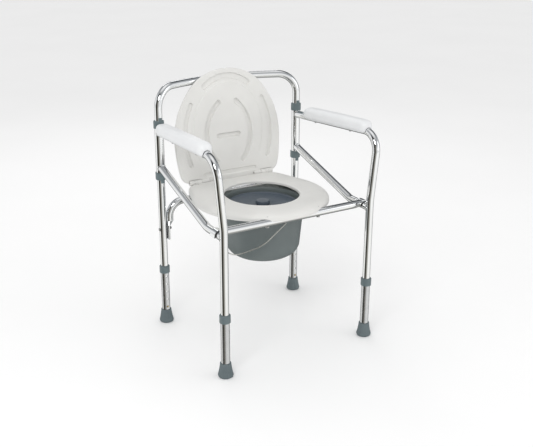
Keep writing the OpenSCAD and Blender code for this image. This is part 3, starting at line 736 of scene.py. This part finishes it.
tilt = math.radians(49)  # of the bail, from hanging straight down
drop = [(-0.116, 0), (-0.129, 0), (-0.117, 0.092), (-0.044, 0.163), (0.044, 0.163),
        (0.117, 0.092), (0.129, 0), (0.116, 0)]
wire = [Vector((pail_x - d * math.sin(tilt), pail_y + y, pivot_z - d * math.cos(tilt)))
        for y, d in drop]
solid("bail_wire", *tube_mesh(bent(wire, [0.004, 0.08, 0.08, 0.08, 0.08, 0.004]), 0.0016, 20),
      "bail_wire", "bail", ["bail"])

# ---------------------------------------------------------------- rubber tips


def flutes(r, z, a):
    """Radius of a tip with sixteen shallow grooves round its waist."""
    window = eased_step((z - 0.004) / 0.006) * eased_step((0.034 - z) / 0.008)
    return r - 0.0011 * window * (0.5 + 0.5 * math.cos(16 * a)) ** 2


FOOT_N = 192
tip_profile = rounded([(0.0008, 0), (0.0200, 0), (0.0220, 0.006), (0.0190, 0.018),
                       (0.0162, 0.035), (0.0156, 0.042), (0.0128, 0.042), (0.0128, 0.030)],
                      [0.0025, 0.004, 0.02, 0.02, 0.0012, 0.0004], 6)
for side, s in SIDES.items():
    for end, leg in (("front", foreleg), ("rear", upright)):
        verts, faces = lathe_mesh(tip_profile, FOOT_N, (s * leg.x, leg.y, 0), flutes)
        faces.append(tuple(range(FOOT_N)))
        solid(f"{side}_{end}_foot", verts, faces, "grey_rubber", f"{side}_{end}_leg",
              [f"{side}_{end}_tip"])

# ---------------------------------------------------------------- CAD nodes that stay: soft edges

for name, obj in frame["nodes"].items():
    if not obj.hide_render:
        bevel = obj.modifiers.new("edge", "BEVEL")
        bevel.width, bevel.segments, bevel.limit_method = 0.0003, 2, "ANGLE"
        bevel.angle_limit = math.radians(50)
        bevel.use_clamp_overlap = True

# ---------------------------------------------------------------- floor, light, camera


def area_light(name, at, target, size, power, color=(1, 1, 1)):
    data = bpy.data.lights.new(name, "AREA")
    data.shape, data.size, data.size_y = "RECTANGLE", size[0], size[1]
    data.energy, data.color = power, color
    lamp = bpy.data.objects.new(name, data)
    lamp.location = at
    lamp.rotation_euler = (Vector(target) - Vector(at)).to_track_quat("-Z", "Y").to_euler()
    bpy.context.scene.collection.objects.link(lamp)
    return lamp


def floor():
    mesh = bpy.data.meshes.new("floor")
    r = 30.0
    mesh.from_pydata([(-r, -r, 0), (r, -r, 0), (r, r, 0), (-r, r, 0)], [], [(0, 1, 2, 3)])
    obj = bpy.data.objects.new("floor", mesh)
    bpy.context.scene.collection.objects.link(obj)
    f = Finish("floor", (0.98, 0.98, 0.98), Roughness=0.9, Specular_IOR_Level=0.1)
    f.tint(f.noise(1.5, 3), (0.965, 0.965, 0.965))
    mesh.materials.append(f.mat)
    obj.visible_glossy = False


floor()

world = bpy.data.worlds.new("studio")
bpy.context.scene.world = world
world.use_nodes = True
tree = world.node_tree
tree.nodes.clear()


def gradient(value, stops):
    """Colour ramp over 0 to 1 of (position, colour) stops."""
    made = tree.nodes.new("ShaderNodeValToRGB")
    made.color_ramp.elements.remove(made.color_ramp.elements[0])
    for i, (at, colour) in enumerate(stops):
        e = made.color_ramp.elements[0] if i == 0 else made.color_ramp.elements.new(at)
        e.position, e.color = at, (*colour, 1)
    links(tree, (value, made.inputs["Fac"]))
    return made.outputs["Color"]


def maths(operation, a, b=None, c=None):
    made = tree.nodes.new("ShaderNodeMath")
    made.operation = operation
    for socket, value in zip(made.inputs, (a, b, c)):
        if isinstance(value, (int, float)):
            socket.default_value = value
        elif value is not None:
            links(tree, (value, socket))
    return made.outputs[0]


def blended(kind, factor, a, b):
    made = tree.nodes.new("ShaderNodeMix")
    made.data_type, made.blend_type = "RGBA", kind
    for socket, value in (("Factor", factor), ("A", a), ("B", b)):
        if isinstance(value, (int, float)):
            made.inputs[socket].default_value = value
        elif isinstance(value, tuple):
            made.inputs[socket].default_value = (*value, 1)
        else:
            links(tree, (value, made.inputs[socket]))
    return made.outputs["Result"]


def grey(v, warm=0.0):
    return (v * (1 + warm), v * (1 + warm * 0.4), v * (1 - warm))


PAPER, AMBIENT = 0.97, 0.86
PANELS = [(0.00, (0.03, 0.03, 0.03)), (0.06, (0.02, 0.02, 0.018)), (0.09, (0.13, 0.12, 0.09)),
          (0.14, (0.42, 0.41, 0.38)), (0.19, (0.50, 0.50, 0.49)), (0.22, (1.15, 1.15, 1.15)),
          (0.36, (1.2, 1.2, 1.2)), (0.48, (0.95, 0.96, 0.97)), (0.53, (0.34, 0.36, 0.37)),
          (0.60, (0.16, 0.17, 0.18)), (0.70, (0.20, 0.21, 0.22)), (0.78, (0.42, 0.44, 0.45)),
          (0.83, (1.1, 1.1, 1.1)), (0.95, (1.15, 1.15, 1.15)), (0.975, (0.25, 0.25, 0.24)),
          (1.0, (0.03, 0.03, 0.03))]
LEVELS = [(0.0, (0.55, 0.55, 0.53)), (0.20, (0.34, 0.34, 0.32)), (0.33, (0.85, 0.84, 0.80)),
          (0.45, (0.95, 0.95, 0.94)), (0.50, (0.70, 0.70, 0.70)), (0.57, (0.95, 0.95, 0.95)),
          (0.66, (0.48, 0.49, 0.50)), (0.78, (0.30, 0.31, 0.32)), (0.87, (0.75, 0.75, 0.75)),
          (1.0, (1.05, 1.05, 1.05))]
# share of LEVELS alone, without the panels, towards the zenith and the nadir
CAPS = [(0.0, (1, 1, 1)), (0.16, (0.8, 0.8, 0.8)), (0.30, (0, 0, 0)), (0.74, (0, 0, 0)),
        (0.86, (1, 1, 1)), (1.0, (1, 1, 1))]

# What the polished metal mirrors: a room of white panels and dark gaps, above a pale floor whose
# far part falls off into the dark. Azimuth is counted from +X in turns.
place = tree.nodes.new("ShaderNodeTexCoord").outputs["Generated"]
split = tree.nodes.new("ShaderNodeSeparateXYZ")
links(tree, (place, split.inputs[0]))
azimuth = maths("MULTIPLY_ADD", maths("ARCTAN2", split.outputs["Y"], split.outputs["X"]),
                0.5 / math.pi, 0.5)
height = maths("MULTIPLY_ADD", maths("ARCSINE", split.outputs["Z"]), 1 / math.pi, 0.5)
panels = gradient(azimuth, PANELS)
levels = gradient(height, LEVELS)
mirrored_room = blended("MULTIPLY", 1.0, blended("MIX", gradient(height, CAPS), panels, (1, 1, 1)),
                        levels)
rays = tree.nodes.new("ShaderNodeLightPath")
plain = tree.nodes.new("ShaderNodeBackground")
plain.inputs["Color"].default_value = (1, 1, 1, 1)
links(tree, (maths("MULTIPLY_ADD", rays.outputs["Is Camera Ray"], PAPER - AMBIENT, AMBIENT),
             plain.inputs["Strength"]))
room = tree.nodes.new("ShaderNodeBackground")
choose = tree.nodes.new("ShaderNodeMixShader")
out = tree.nodes.new("ShaderNodeOutputWorld")
links(tree, (mirrored_room, room.inputs["Color"]),
      (rays.outputs["Is Glossy Ray"], choose.inputs[0]),
      (plain.outputs[0], choose.inputs[1]), (room.outputs[0], choose.inputs[2]),
      (choose.outputs[0], out.inputs["Surface"]))
room.inputs["Strength"].default_value = 1.0

area_light("key", (-1.6, -1.4, 2.2), (0, 0, 0.4), (1.0, 0.8), 16)
area_light("fill", (2.0, -1.8, 1.3), (0, 0, 0.4), (0.9, 1.6), 5)
area_light("rim", (0.6, 2.2, 1.9), (0, 0, 0.5), (1.6, 0.7), 6)

camera = bpy.data.objects.new("camera", bpy.data.cameras.new("camera"))
bpy.context.scene.collection.objects.link(camera)
camera.data.sensor_width = 36
camera.data.lens = 56.923
camera.location = (-1.20584, foreleg.y - 1.80115, 1.21266)
camera.rotation_euler = (math.radians(69.540), math.radians(-0.250), math.radians(-31.253))
bpy.context.scene.camera = camera
bpy.context.scene.view_settings.view_transform = "Standard"
